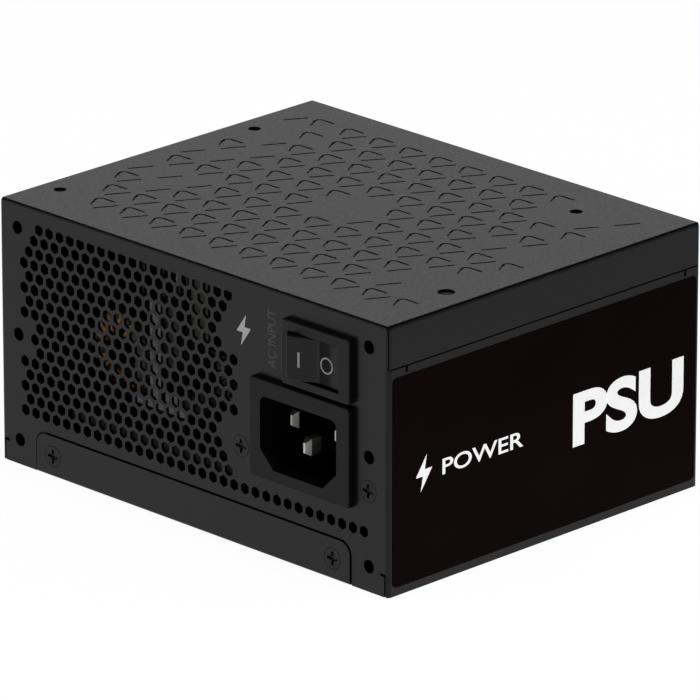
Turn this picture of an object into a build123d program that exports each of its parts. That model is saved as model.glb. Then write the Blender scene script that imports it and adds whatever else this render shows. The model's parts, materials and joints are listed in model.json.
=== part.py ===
from build123d import *
import math
import os

# Small-form-factor power supply unit.
# Origin at the bottom centre of the case, +Z up, the AC panel facing -Y and the
# output sockets facing +Y.  All sizes are in millimetres.

# ---- driving dimensions ------------------------------------------------------
CASE_W = 125.0
CASE_D = 100.0
CASE_H = 63.5
SHEET = 0.8
HALF_W = CASE_W / 2
HALF_D = CASE_D / 2

CORNER_BEND = 1.0
SIDE_BEND = 0.9
END_BEND = 0.6
SEAM_Z = 53.2
SEAM_GAP = 0.35
SLIT = 0.42
RELIEF_R = 0.62
RELIEF_L = 2.6
LOW_RELIEF_Z = (4.75, 5.45)
LOW_RELIEF_W = 1.7
TONGUE_REAR_Y = -44.3
TONGUE_FRONT_Y = 45.0
TONGUE_SLOT = 0.7
TONGUE_DROP = 1.3

MOUNT_X = 56.5
MOUNT_Z = (6.0, 31.75, 57.5)
MOUNT_R = 1.6

HEX_PITCH_X = 3.42
HEX_PITCH_Z = 2.975
HEX_FLATS = 2.5
HEX_LEFT_X = -54.5
HEX_TOP_Z = 58.5
HEX_ROWS = 16
HEX_FIELD_RIGHT = 14.5
HEX_LAST_RIGHT = 54.95

TRIANGLE_PITCH_X = 9.69
TRIANGLE_PITCH_Y = 8.325
TRIANGLE_SIDE = 8.55
TRIANGLE_TOP_Y = 40.83
TRIANGLE_EVEN_X = -51.4
TRIANGLE_ODD_X = -56.3
GROOVE_W = 0.62
GROOVE_DEEP = 0.28

FLANGE_W = 101.4
FLANGE_H = 9.75
FLANGE_R = 3.0
FLANGE_GAP = 0.45
FLANGE_PROUD = 0.25
FLANGE_SCREW_X = 45.3
FLANGE_SCREW_Z = 4.9
SCREW_HEAD_R = 2.5
SCREW_HEAD_H = 0.75
SCREW_SHANK_R = 1.35
SCREW_PLAY = 0.11
FAN_SCREW_RECESS = 0.1
FAN_SCREW_HOLE_R = 1.75

INLET_X = 36.1
INLET_Z = 30.35
INLET_W = 31.45
INLET_H = 23.7
PROUD = 1.65
INLET_SCREWS = ((16.1, 23.7), (56.2, 23.7))

SWITCH_X = 41.25
SWITCH_Z = 50.65
SWITCH_W = 21.25
SWITCH_H = 15.25
SWITCH_BACK = -35.0

ROCKER_X = 40.6
ROCKER_Z = 50.35
ROCKER_OPENING_W = 16.0
ROCKER_OPENING_H = 10.9
ROCKER_PIVOT_Y = -48.93
ROCKER_TILT = 11.0
ROCKER_END_R = 7.85
ROCKER_VALLEY = 1.85
ROCKER_BACK = 3.0
ROCKER_POCKET = 5.0
ROCKER_SIDE_GAP = 0.25
TRUNNION_R = 1.1
TRUNNION_L = 0.6
TRUNNION_PLAY = 0.05
TERMINAL_SPACING = 10.4
TERMINAL_HALF_T = 0.4
TERMINAL_HALF_W = 2.4
TERMINAL_END_Y = -29.0

STANDOFFS = ((-56.3, 25.2, 1.5), (-56.3, -36.8, 1.5), (37.5, 35.4, 1.5), (54.9, -24.3, 2.0))
STANDOFF_R = 3.0

BOARD_TOP = 57.7
BOARD_T = 1.6
BOARD_BOTTOM = BOARD_TOP - BOARD_T

FAN_SIZE = 92.0
FAN_T = 15.0
FAN_HOLES = 82.5
FAN_BOTTOM = 2 * SHEET
FAN_TOP = FAN_BOTTOM + FAN_T
FAN_BORE_R = 44.6

GRILLE_R = 46.0
GRILLE_CELL = 7.0
GRILLE_BAR = 1.1
GRILLE_HUB_R = 9.0

LABEL_L = 97.4
LABEL_H = 49.2
LABEL_T = 0.15
LABEL_Z = 26.6
LABEL_R = 1.3

SOCKET_PROUD = 2.6
SOCKET_DEPTH = 12.1
SOCKET_FRONT = HALF_D + SOCKET_PROUD
SOCKET_BACK = SOCKET_FRONT - SOCKET_DEPTH
PIN_HALF = 0.5
PIN_INSET = 3.1
CELL = 3.6
CELL_FLOOR = 1.6
GRAPHICS_CELL = 2.6
SENSE_CELL = 1.4
MODULAR_T = 1.6

HUB_R = 16.0
HUB_BOTTOM = 2.6
HUB_TOP = 13.5
BLADES = 9
BLADE_TIP_R = 43.7
BLADE_MID_Z = 8.2
# Root and tip of a blade: sideways offset, distance from the axis, pitch in degrees, chord, thickness
BLADE_SECTIONS = ((0.0, HUB_R - 1.3, 41.8, 13.0, 1.5), (-5.0, BLADE_TIP_R + 1, 25.2, 21.0, 0.9))
SHAFT_R = 1.5
BEARING_PLAY = 0.03
BEARING_R = 3.2
BEARING_WALL = 1.2
BEARING_BOTTOM = 6.4
STATOR_GLUE = 0.02
STRUT_Z = 14.0
STRUT_HALF_W = 2.2

CAVITY_X = 35.9
CAVITY_Z = 29.85
CAVITY_W = 24.0
CAVITY_H = 16.9
CAVITY_BACK = -34.0
CAVITY_CHAMFER = 4.3
BLADE_TABS = {"line": (29.0, 32.4, -46.85), "neutral": (43.0, 32.4, -46.85), "earth": (36.0, 28.4, -49.75)}
TAB_BACK = -21.0
TAB_T = 2.0
TAB_H = 4.0
TAB_TIP_T = 0.6
TAB_TIP_H = 2.4
TAB_TAPER = 1.4

# Ring chokes: centre, outer and inner radius, and thickness of the ring
BOOST_CHOKE = (-36.0, -33.5, 30.2, 8.8, 4.8, 9.0)
LINE_CHOKE = (6.5, -37.0, 38.0, 9.0, 5.0, 7.0)
HEATSINK_FACE_X = -16.4
HEATSINK_T = 3.5
HEATSINK_Y = (-43.5, -12.0)
HEATSINK_Z = 24.2
HEATSINK_TOP = 47.3
CHIP_X = (-19.0, -11.5, -4.0, 3.5, 11.0)
CHIP_Z = (32.0, 41.0)
WIRE_R = 1.1
WIRE_BEND = 2.6
FAN_WIRE_R = 0.7

# Pressed pattern of the top: first and last triangle of each row that has the
# bent stroke and the loose stroke, and the triangles that lack one of them.
CHEVRON_SPANS = {
    0: (0, 8), 1: (1, 8), 2: (1, 10), 3: (0, 10), 4: (1, 8),
    5: (0, 11), 6: (2, 10), 7: (0, 9), 8: (0, 8), 9: (1, 11),
}
SLASH_SPANS = {
    0: (-1, 7), 1: (2, 8), 2: (0, 8), 3: (0, 10), 4: (-1, 9),
    5: (0, 10), 6: (-1, 9), 7: (0, 9), 8: (0, 9), 9: (1, 10),
}
CHEVRONS_LEFT_OUT = {(3, 1), (4, 5), (5, 5), (5, 6), (7, 1)}
SLASHES_LEFT_OUT = {(0, 0), (4, 4), (4, 5), (5, 5)}
SLASHES_ADDED = {(0, 10), (1, 10)}

# Output sockets: position of each and its number of pin columns
PIN_PITCH = 4.2
SOCKET_H = 9.6
SOCKETS = {
    "motherboard_sockets": ((-33.0, 50.6, 9), (0.6, 50.6, 5)),
    "eight_pin_sockets": ((24.5, 50.6, 4), (46.5, 50.6, 4), (24.5, 37.6, 4), (46.5, 37.6, 4)),
    "six_pin_sockets": ((26.6, 24.6, 3), (48.6, 24.6, 3)),
}
GRAPHICS_X = -38.0
GRAPHICS_Z = 37.6
GRAPHICS_PITCH = 3.0
GRAPHICS_COLUMNS = 6
GRAPHICS_H = 10.4


# ---- helpers -----------------------------------------------------------------
def block(x0, x1, y0, y1, z0, z1):
    """Box between two opposite corners."""
    centre = Pos((x0 + x1) / 2, (y0 + y1) / 2, (z0 + z1) / 2)
    return centre * Box(abs(x1 - x0), abs(y1 - y0), abs(z1 - z0))


def rod_z(x, y, z0, z1, r):
    """Cylinder along Z."""
    return Pos(x, y, (z0 + z1) / 2) * Cylinder(r, z1 - z0)


def rod_y(x, z, y0, y1, r):
    """Cylinder along Y."""
    return Pos(x, (y0 + y1) / 2, z) * Rot(90, 0, 0) * Cylinder(r, y1 - y0)


def rod_x(y, z, x0, x1, r):
    """Cylinder along X."""
    return Pos((x0 + x1) / 2, y, z) * Rot(0, 90, 0) * Cylinder(r, x1 - x0)


def panel(w, h, r, x, z, y0, y1):
    """Upright plate in the XZ plane with rounded corners, from y0 to y1."""
    outline = RectangleRounded(w, h, r)
    solid = extrude(outline, amount=y1 - y0)
    return Pos(x, y1, z) * Rot(90, 0, 0) * solid


def sheet_z(w, d, r, x, y, z0, z1):
    """Level plate with rounded corners, from z0 to z1."""
    return Pos(x, y, z0) * extrude(RectangleRounded(w, d, r), amount=z1 - z0)


def group(solids):
    """Separate solids kept together as one node."""
    return Compound(children=list(solids))


def tube(points, radii, r):
    """Round wire along straight runs joined by tangent arcs."""
    path = FilletPolyline(*points, radius=radii)
    start = path % 0
    section = Plane(origin=path @ 0, z_dir=start) * Circle(r)
    return sweep(section, path=path)


def countersink_y(x, z, y_face):
    """Cut for a flush screw that enters towards +Y."""
    cone = Pos(x, y_face + SCREW_HEAD_H / 2, z) * Rot(90, 0, 0)
    wide = SCREW_HEAD_R + SCREW_PLAY
    head = cone * Cone(wide - SCREW_HEAD_H, wide, SCREW_HEAD_H)
    shank = rod_y(x, z, y_face - 1, y_face + 8, SCREW_SHANK_R + 0.1)
    return head + shank


def cross_recess(depth):
    """Phillips recess, opening towards +Z at the origin."""
    arm_a = Box(3.3, 0.7, depth, align=(Align.CENTER, Align.CENTER, Align.MAX))
    arm_b = Rot(0, 0, 90) * arm_a
    core = Pos(0, 0, -depth / 2) * Cone(0.5, 0.9, depth)
    return arm_a + arm_b + core


def flush_screw(length):
    """Countersunk Phillips screw with its face at the origin, shank towards -Z."""
    head = Pos(0, 0, -SCREW_HEAD_H / 2) * Cone(SCREW_HEAD_R - SCREW_HEAD_H, SCREW_HEAD_R, SCREW_HEAD_H)
    shank = Pos(0, 0, -(length + SCREW_HEAD_H) / 2) * Cylinder(SCREW_SHANK_R, length - SCREW_HEAD_H)
    return head + shank - cross_recess(0.6)


def pan_screw(length, head_r, head_h, shank_r):
    """Pan-head screw, underside of the head at the origin, shank towards -Z."""
    head = Pos(0, 0, head_h / 2) * Cylinder(head_r, head_h)
    head = fillet(head.edges().group_by(Axis.Z)[-1], head_h * 0.45)
    recess = Pos(0, 0, head_h) * Box(head_r * 1.1, 0.5, head_h, rotation=(0, 0, 0))
    recess += Pos(0, 0, head_h) * Box(0.5, head_r * 1.1, head_h)
    shank = Pos(0, 0, -length / 2) * Cylinder(shank_r, length)
    return head + shank - recess


FACING_REAR = Rot(90, 0, 0)
FACING_FRONT = Rot(-90, 0, 0)
FACING_DOWN = Rot(180, 0, 0)


# ---- sheet-metal case --------------------------------------------------------
def case_block():
    """Solid outline of the case, with its bent edges."""
    plan = extrude(RectangleRounded(CASE_W, CASE_D, CORNER_BEND), amount=CASE_H)
    side_bends = Plane.XZ * RectangleRounded(CASE_W, 2 * CASE_H, SIDE_BEND)
    end_bends = Plane.YZ * RectangleRounded(CASE_D, 2 * CASE_H, END_BEND)
    across = extrude(side_bends, amount=CASE_D, both=True)
    along = extrude(end_bends, amount=CASE_W, both=True)
    return plan & across & along


def hexagon_centres():
    """Vent holes of the AC panel, left out around screws, badge and mounting holes."""
    keep_out = [(x, z, 5.0) for x in (-MOUNT_X, MOUNT_X) for z in MOUNT_Z]
    keep_out.append((INLET_SCREWS[0][0], INLET_SCREWS[0][1], 6.5))
    keep_out.append((17.3, 51.5, 7.5))
    for row in range(HEX_ROWS):
        z = HEX_TOP_Z - HEX_PITCH_Z * row
        right = HEX_LAST_RIGHT if row == HEX_ROWS - 1 else HEX_FIELD_RIGHT
        shift = 0 if row % 2 else HEX_PITCH_X / 2
        x = HEX_LEFT_X + shift
        while x <= right:
            if all(math.hypot(x - a, z - b) > r for a, b, r in keep_out):
                yield x, z
            x += HEX_PITCH_X


def vent_cutter():
    """Every vent hole of the AC panel as one tool."""
    hexagon = RegularPolygon(HEX_FLATS / 2, 6, major_radius=False, rotation=0)
    upright = FACING_REAR * Rot(0, 0, 30) * extrude(hexagon, amount=3 * SHEET)
    return [Pos(x, -HALF_D + SHEET * 2, z) * upright for x, z in hexagon_centres()]


def triangle_corner(row, k):
    """Upper left corner of one triangle of the pressed pattern."""
    start = TRIANGLE_ODD_X if row % 2 else TRIANGLE_EVEN_X
    return start + TRIANGLE_PITCH_X * k, TRIANGLE_TOP_Y - TRIANGLE_PITCH_Y * row


def pattern_grooves():
    """Pressed pattern of the top: two joined strokes and one loose stroke a triangle."""
    down = (0.5, -math.sqrt(3) / 2)
    path = FilletPolyline((5.65, 0), (0, 0), (5.5 * down[0], 5.5 * down[1]), radius=1.1)
    chevron = extrude(trace(path, GROOVE_W), amount=2 * GROOVE_DEEP)
    first, last = 1.33, 7.3
    start = (TRIANGLE_SIDE - first * down[0], first * down[1])
    end = (TRIANGLE_SIDE - last * down[0], last * down[1])
    slash = extrude(trace(Line(start, end), GROOVE_W), amount=2 * GROOVE_DEEP)
    floor_z = CASE_H - GROOVE_DEEP
    cuts = []
    for row in range(10):
        first_k, last_k = CHEVRON_SPANS[row]
        for k in range(first_k, last_k + 1):
            if (row, k) not in CHEVRONS_LEFT_OUT:
                x, y = triangle_corner(row, k)
                cuts.append(Pos(x, y, floor_z) * chevron)
        first_k, last_k = SLASH_SPANS[row]
        loose = {(row, k) for k in range(first_k, last_k + 1)} - SLASHES_LEFT_OUT
        loose |= {key for key in SLASHES_ADDED if key[0] == row}
        for _, k in sorted(loose):
            x, y = triangle_corner(row, k)
            cuts.append(Pos(x, y, floor_z) * slash)
    return cuts


def corner_cuts():
    """Slits, relief holes and relief cuts where the bent walls meet at the upright corners."""
    low, high = LOW_RELIEF_Z
    cuts = []
    for sx in (-1, 1):
        for sy in (-1, 1):
            x = sx * HALF_W
            y = sy * HALF_D
            slit_top = CASE_H - SIDE_BEND
            cuts.append(block(x - sx * SLIT, x + sx, y - sy * SLIT, y + sy, SEAM_Z, slit_top))
            butt = x - sx * SHEET
            inside = y - sy * (SHEET + 0.1)
            cuts.append(block(butt - sx * SLIT, butt, inside, y + sy, -1, high))
            cuts.append(block(butt - sx * LOW_RELIEF_W, butt, inside, y + sy, low, high))
            outwards = Plane(origin=(x, y, 0), z_dir=(sx, sy, 0))
            cuts.append(Pos(0, 0, SEAM_Z) * outwards * Cylinder(RELIEF_R, RELIEF_L))
            top_corner = Plane(origin=(x, y, CASE_H), z_dir=(sx, sy, 1))
            cuts.append(top_corner * Cylinder(0.5, 2.2))
    return cuts


def side_seams():
    """Seam below each upper side flange, with a relief slot near each end."""
    cuts = []
    for sx in (-1, 1):
        inner = sx * (HALF_W - SHEET - 0.05)
        outer = sx * (HALF_W + 1)
        end = HALF_D - SHEET
        cuts.append(block(inner, outer, -end, end, SEAM_Z, SEAM_Z + SEAM_GAP))
        for y in (TONGUE_REAR_Y, TONGUE_FRONT_Y):
            half = TONGUE_SLOT / 2
            cuts.append(block(inner, outer, y - half, y + half, SEAM_Z - TONGUE_DROP, SEAM_Z + 0.1))
    return cuts


def socket_fronts():
    """Centre, width and height of every output socket."""
    fronts = [(x, z, n * PIN_PITCH + 1.2, SOCKET_H) for places in SOCKETS.values() for x, z, n in places]
    graphics_w = GRAPHICS_COLUMNS * GRAPHICS_PITCH + 1.6
    fronts.append((GRAPHICS_X, GRAPHICS_Z, graphics_w, GRAPHICS_H))
    return fronts


def socket_openings():
    """Openings of the front wall, each with a notch for the latch ramp."""
    cuts = []
    for x, z, w, h in socket_fronts():
        cuts.append(panel(w + 0.3, h + 0.3, 0.7, x, z, HALF_D - 2, HALF_D + 1))
        cuts.append(block(x - 2.0, x + 2.0, HALF_D - 2, HALF_D + 1, z + h / 2 - 0.5, z + h / 2 + 1.2))
    return cuts


def flange_openings():
    """Recess in each end wall for the flange of the fan cover."""
    w = FLANGE_W + 2 * FLANGE_GAP
    h = FLANGE_H + FLANGE_GAP
    cuts = []
    for y0 in (-HALF_D - 1, HALF_D - SHEET):
        cuts.append(panel(w, 2 * h, FLANGE_R + FLANGE_GAP, 0, 0, y0, y0 + SHEET + 1))
    return cuts


def make_case_shell():
    inner_w = HALF_W - SHEET
    inner_d = HALF_D - SHEET
    shell = case_block()
    shell -= block(-inner_w, inner_w, -inner_d, inner_d, -1, CASE_H - SHEET)
    shell -= flange_openings()
    shell -= side_seams()
    shell -= corner_cuts()
    strip_w = FLANGE_W / 2 + 3
    for sy in (-1, 1):
        outer = sy * inner_d
        shell += block(-strip_w, strip_w, outer, outer - sy * SHEET, 1.2, FLANGE_H + 2.6)
    for sx in (-1, 1):
        face = sx * inner_w
        low = SEAM_Z - 3.0
        shell += block(face, face - sx * SHEET, TONGUE_REAR_Y + 0.4, TONGUE_FRONT_Y - 0.4, low, SEAM_Z + 3)
    shell -= [rod_y(x, z, -HALF_D - 1, -HALF_D + 2, MOUNT_R) for x in (-MOUNT_X, MOUNT_X) for z in MOUNT_Z]
    shell -= panel(INLET_W + 0.1, INLET_H + 0.1, 1.1, INLET_X, INLET_Z, -HALF_D - 1, -HALF_D + 2)
    shell -= panel(SWITCH_W - 1.2, SWITCH_H - 1.2, 0.6, SWITCH_X, SWITCH_Z, -HALF_D - 1, -HALF_D + 2)
    shell -= [countersink_y(x, z, -HALF_D) for x, z in INLET_SCREWS]
    shell -= [rod_y(x, FLANGE_SCREW_Z, -HALF_D, HALF_D, SCREW_SHANK_R + 0.1)
              for x in (-FLANGE_SCREW_X, FLANGE_SCREW_X)]
    shell -= vent_cutter()
    shell -= [rod_z(x, y, CASE_H - 2, CASE_H + 1, r) for x, y, r in STANDOFFS]
    shell -= pattern_grooves()
    shell -= socket_openings()
    return shell


def make_fan_cover():
    """Bottom plate with a screwed flange at each end and the fan opening."""
    side_gap = 0.3
    w = CASE_W - 2 * (SHEET + side_gap)
    plate = sheet_z(w, CASE_D - 2 * (SHEET + side_gap), 0.5, 0, 0, 0, SHEET)
    plate += block(-FLANGE_W / 2, FLANGE_W / 2, -HALF_D + 0.4, HALF_D - 0.4, 0, SHEET)
    flange_y = HALF_D + FLANGE_PROUD
    for y0, y1 in ((-flange_y, 0.05 - flange_y + SHEET), (flange_y - SHEET + 0.05, flange_y)):
        flange = panel(FLANGE_W, 2 * FLANGE_H, FLANGE_R, 0, 0, y0, y1)
        plate += flange & block(-CASE_W, CASE_W, y0 - 1, y1 + 1, 0, CASE_H)
    bends = [e for e in plate.edges().filter_by(Axis.X)
             if abs(abs(e.center().Y) - flange_y) < 0.01 and e.center().Z < 0.01]
    plate = fillet(bends, 0.5)
    plate -= rod_z(0, 0, -1, 2, FAN_BORE_R - 0.6)
    for sx in (-1, 1):
        plate -= countersink_y(sx * FLANGE_SCREW_X, FLANGE_SCREW_Z, -flange_y)
        plate -= Rot(0, 0, 180) * countersink_y(sx * FLANGE_SCREW_X, FLANGE_SCREW_Z, -flange_y)
    for x, y in fan_hole_places():
        plate -= fan_screw_cut(x, y)
    return plate


def fan_hole_places():
    half = FAN_HOLES / 2
    return [(sx * half, sy * half) for sx in (-1, 1) for sy in (-1, 1)]


def fan_screw_cut(x, y):
    """Countersunk hole from below for one fan screw."""
    wide = SCREW_HEAD_R + SCREW_PLAY
    middle = FAN_SCREW_RECESS + SCREW_HEAD_H / 2
    head = Pos(x, y, middle) * Cone(wide, wide - SCREW_HEAD_H, SCREW_HEAD_H)
    rim = rod_z(x, y, -1, FAN_SCREW_RECESS, wide)
    return head + rim + rod_z(x, y, -1, FAN_BOTTOM, FAN_SCREW_HOLE_R)


def grille_cells():
    """Triangular vents of the grille, pointing up and down by turns."""
    half = GRILLE_CELL / 2
    rise = half * math.sqrt(3)
    outline = Polygon((0, 2 * rise / 3), (-half, -rise / 3), (half, -rise / 3), align=None)
    cell = extrude(offset(outline, amount=-GRILLE_BAR / 2), amount=3 * SHEET)
    flipped = Rot(0, 0, 180) * cell
    reach = FAN_BORE_R - 3.4
    rows = math.ceil(reach / rise)
    columns = math.ceil(reach / half)
    cuts = []
    for row in range(-rows, rows):
        for k in range(-columns, columns + 1):
            upward = (row + k) % 2 == 0
            x = k * half
            y = row * rise + (rise / 3 if upward else 2 * rise / 3)
            if GRILLE_HUB_R < math.hypot(x, y) < reach:
                cuts.append(Pos(x, y, 0) * (cell if upward else flipped))
    return cuts


def make_fan_grille():
    """Flat stamped grille held between the cover and the fan by its four ears."""
    disc = rod_z(0, 0, SHEET, 2 * SHEET, GRILLE_R)
    for x, y in fan_hole_places():
        ear = Rot(0, 0, math.degrees(math.atan2(y, x))) * block(30, 62, -5, 5, SHEET, 2 * SHEET)
        disc += ear & sheet_z(FAN_SIZE, FAN_SIZE, 4, 0, 0, SHEET, 2 * SHEET)
    disc -= grille_cells()
    disc -= [fan_screw_cut(x, y) for x, y in fan_hole_places()]
    return disc


# ---- fan -----------------------------------------------------------------------
def make_fan_frame():
    """Square frame of the fan, with a waist between its two flanges."""
    slab = sheet_z(FAN_SIZE, FAN_SIZE, 4, 0, 0, FAN_BOTTOM, FAN_TOP)
    waist = sheet_z(FAN_SIZE + 1, FAN_SIZE + 1, 4, 0, 0, FAN_BOTTOM + 3, FAN_TOP - 3)
    waist -= rod_z(0, 0, 0, FAN_TOP + 1, FAN_BORE_R + 1.2)
    frame = slab - rod_z(0, 0, 0, FAN_TOP + 1, FAN_BORE_R) - waist
    mouth = Pos(0, 0, FAN_BOTTOM + 0.4) * Cone(FAN_BORE_R + 1.0, FAN_BORE_R, 0.8)
    frame -= mouth
    frame -= [rod_z(x, y, 0, FAN_TOP + 1, SCREW_SHANK_R) for x, y in fan_hole_places()]
    return frame


def make_fan_motor_mount():
    """Motor base with its bearing tube and the four struts that reach the frame."""
    base = rod_z(0, 0, FAN_TOP - 1.6, FAN_TOP, HUB_R + 0.5)
    for angle in (0, 90, 180, 270):
        strut = block(HUB_R - 1, FAN_BORE_R + 1, -STRUT_HALF_W, STRUT_HALF_W, STRUT_Z, FAN_TOP)
        base += Rot(0, 0, angle) * strut
    base &= rod_z(0, 0, 0, FAN_TOP, FAN_BORE_R)
    base += rod_z(0, 0, BEARING_BOTTOM, FAN_TOP, BEARING_R + BEARING_WALL)
    return base - rod_z(0, 0, BEARING_BOTTOM - 1, FAN_TOP - 0.8, BEARING_R)


def fan_blade():
    """One twisted blade, from inside the hub wall to the tip."""
    sections = []
    for x, y, pitch, chord, t in BLADE_SECTIONS:
        slope = (math.cos(math.radians(pitch)), 0, math.sin(math.radians(pitch)))
        sections.append(Plane(origin=(x, y, BLADE_MID_Z), x_dir=slope, z_dir=(0, 1, 0)) * Rectangle(chord, t))
    return loft(sections)


def make_fan_rotor():
    cup = rod_z(0, 0, HUB_BOTTOM, HUB_TOP, HUB_R)
    cup = fillet(cup.edges().group_by(Axis.Z)[0], 1.2)
    blade = fan_blade()
    for n in range(BLADES):
        cup += Rot(0, 0, 360 * n / BLADES) * blade
    cup -= rod_z(0, 0, HUB_BOTTOM + 1.5, HUB_TOP + 3, HUB_R - 1.5)
    cup &= rod_z(0, 0, 0, FAN_TOP, BLADE_TIP_R)
    cup += rod_z(0, 0, HUB_BOTTOM + 1.4, 5.9, 3.0)
    cup -= rod_z(0, 0, HUB_BOTTOM + 1.0, 7, SHAFT_R)
    return cup


def make_fan_magnet():
    return rod_z(0, 0, 4.6, 12.8, HUB_R - 1.5) - rod_z(0, 0, 4, 14, HUB_R - 2.8)


def make_fan_shaft():
    shaft = rod_z(0, 0, HUB_BOTTOM + 1.0, FAN_TOP - 1.2, SHAFT_R)
    return chamfer(shaft.edges().group_by(Axis.Z)[-1], 0.3)


def make_fan_bearing():
    bush = rod_z(0, 0, BEARING_BOTTOM, FAN_TOP - 0.8, BEARING_R)
    return bush - rod_z(0, 0, BEARING_BOTTOM - 1, FAN_TOP, SHAFT_R + BEARING_PLAY)


def make_fan_stator():
    """Four-pole core with a coil on each arm."""
    core = rod_z(0, 0, 8.4, 10.6, 6.4)
    arms = core
    for angle in (0, 90, 180, 270):
        turn = Rot(0, 0, angle)
        arms += turn * block(5, 11.2, -1.4, 1.4, 8.4, 10.6)
        arms += turn * fillet(block(6.6, 10.0, -2.6, 2.6, 7.2, 11.8).edges().filter_by(Axis.X), 0.8)
        shoe = block(10.0, 12.6, -6.2, 6.2, 8.4, 10.6) & rod_z(0, 0, 8, 11, 12.4)
        arms += turn * (shoe - rod_z(0, 0, 8, 11, 11.0))
    return arms - rod_z(0, 0, 6, 13, BEARING_R + BEARING_WALL + STATOR_GLUE)


def make_fan_motor_board():
    return rod_z(0, 0, 12.6, 13.4, 12.8) - rod_z(0, 0, 12, 14, BEARING_R + BEARING_WALL + STATOR_GLUE)


def make_fan_screws():
    screws = []
    for x, y in fan_hole_places():
        screws.append(Pos(x, y, FAN_SCREW_RECESS) * FACING_DOWN * flush_screw(6.5))
    return group(screws)


# ---- mains inlet ---------------------------------------------------------------
def cavity_outline():
    """Mains socket outline with its two keyed lower corners."""
    half_w = CAVITY_W / 2
    half_h = CAVITY_H / 2
    c = CAVITY_CHAMFER
    shape = Polygon(
        (-half_w, half_h), (-half_w, c - half_h), (c - half_w, -half_h),
        (half_w - c, -half_h), (half_w, c - half_h), (half_w, half_h), align=None)
    return fillet(shape.vertices().group_by(Axis.Y)[-1], 1.8)


def upright_prism(outline, x, z, y0, y1):
    """Outline drawn in X and Z, extruded from y0 to y1."""
    return Pos(x, y1, z) * FACING_REAR * extrude(outline, amount=y1 - y0)


def make_inlet_housing():
    face = -HALF_D - PROUD
    back_of_wall = -HALF_D + SHEET
    boss = panel(INLET_W, INLET_H, 1.0, INLET_X, INLET_Z, face, back_of_wall + 1)
    boss = fillet(boss.edges().group_by(Axis.Y)[0], 0.35)
    ears_w = INLET_SCREWS[1][0] - INLET_SCREWS[0][0] + 7.6
    middle = (INLET_SCREWS[0][0] + INLET_SCREWS[1][0]) / 2
    ears = panel(ears_w, 9.4, 3.0, middle, INLET_SCREWS[0][1], back_of_wall, back_of_wall + 3)
    ears += panel(INLET_W + 1.6, INLET_H + 0.3, 1.0, INLET_X, INLET_Z, back_of_wall, back_of_wall + 3)
    body = panel(CAVITY_W + 3.0, CAVITY_H + 3.0, 1.6, CAVITY_X, CAVITY_Z, back_of_wall + 2, CAVITY_BACK + 2.4)
    housing = boss + ears + body
    housing -= upright_prism(cavity_outline(), CAVITY_X, CAVITY_Z, face - 1, CAVITY_BACK)
    for x, z, _ in BLADE_TABS.values():
        housing -= inlet_tab_block(x, z, CAVITY_BACK - 1, CAVITY_BACK + 3)
    housing -= [rod_y(x, z, back_of_wall - 1, back_of_wall + 5, SCREW_SHANK_R) for x, z in INLET_SCREWS]
    return housing


def inlet_tab_block(x, z, y0, y1):
    return block(x - TAB_T / 2, x + TAB_T / 2, y0, y1, z - TAB_H / 2, z + TAB_H / 2)


def make_inlet_tab(name):
    """Flat contact blade that tapers to its tip, with a soldering end at the back."""
    x, z, tip = BLADE_TABS[name]
    shoulder = tip + TAB_TAPER
    wide = Plane(origin=(x, shoulder, z), x_dir=(1, 0, 0), z_dir=(0, -1, 0)) * Rectangle(TAB_T, TAB_H)
    narrow = Plane(origin=(x, tip, z), x_dir=(1, 0, 0), z_dir=(0, -1, 0)) * Rectangle(TAB_TIP_T, TAB_TIP_H)
    return inlet_tab_block(x, z, shoulder, TAB_BACK) + loft([wide, narrow])


def make_inlet_screws():
    return group([Pos(x, -HALF_D, z) * FACING_REAR * flush_screw(3.6) for x, z in INLET_SCREWS])


# ---- power switch --------------------------------------------------------------
def make_switch_housing():
    face = -HALF_D - PROUD + 0.05
    bezel = panel(SWITCH_W, SWITCH_H, 0.8, SWITCH_X, SWITCH_Z, face, -HALF_D)
    bezel = fillet(bezel.edges().group_by(Axis.Y)[0], 0.35)
    body = panel(SWITCH_W - 1.4, SWITCH_H - 1.4, 0.5, SWITCH_X, SWITCH_Z, -HALF_D, SWITCH_BACK)
    housing = bezel + body
    pocket_floor = ROCKER_PIVOT_Y + ROCKER_POCKET
    housing -= panel(ROCKER_OPENING_W, ROCKER_OPENING_H, 0.3, ROCKER_X, ROCKER_Z, face - 1, pocket_floor)
    reach = ROCKER_OPENING_H / 2 + TRUNNION_L + 0.2
    hole_r = TRUNNION_R + TRUNNION_PLAY
    housing -= rod_z(ROCKER_X, ROCKER_PIVOT_Y, ROCKER_Z - reach, ROCKER_Z + reach, hole_r)
    housing -= [terminal_block(x, pocket_floor - 1, SWITCH_BACK + 1) for x in terminal_places()]
    return housing


def terminal_places():
    return (SWITCH_X - TERMINAL_SPACING / 2, SWITCH_X + TERMINAL_SPACING / 2)


def terminal_block(x, y0, y1):
    """Flat terminal on the switch, between two depths."""
    return block(x - TERMINAL_HALF_T, x + TERMINAL_HALF_T, y0, y1,
                 SWITCH_Z - TERMINAL_HALF_W, SWITCH_Z + TERMINAL_HALF_W)


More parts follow.
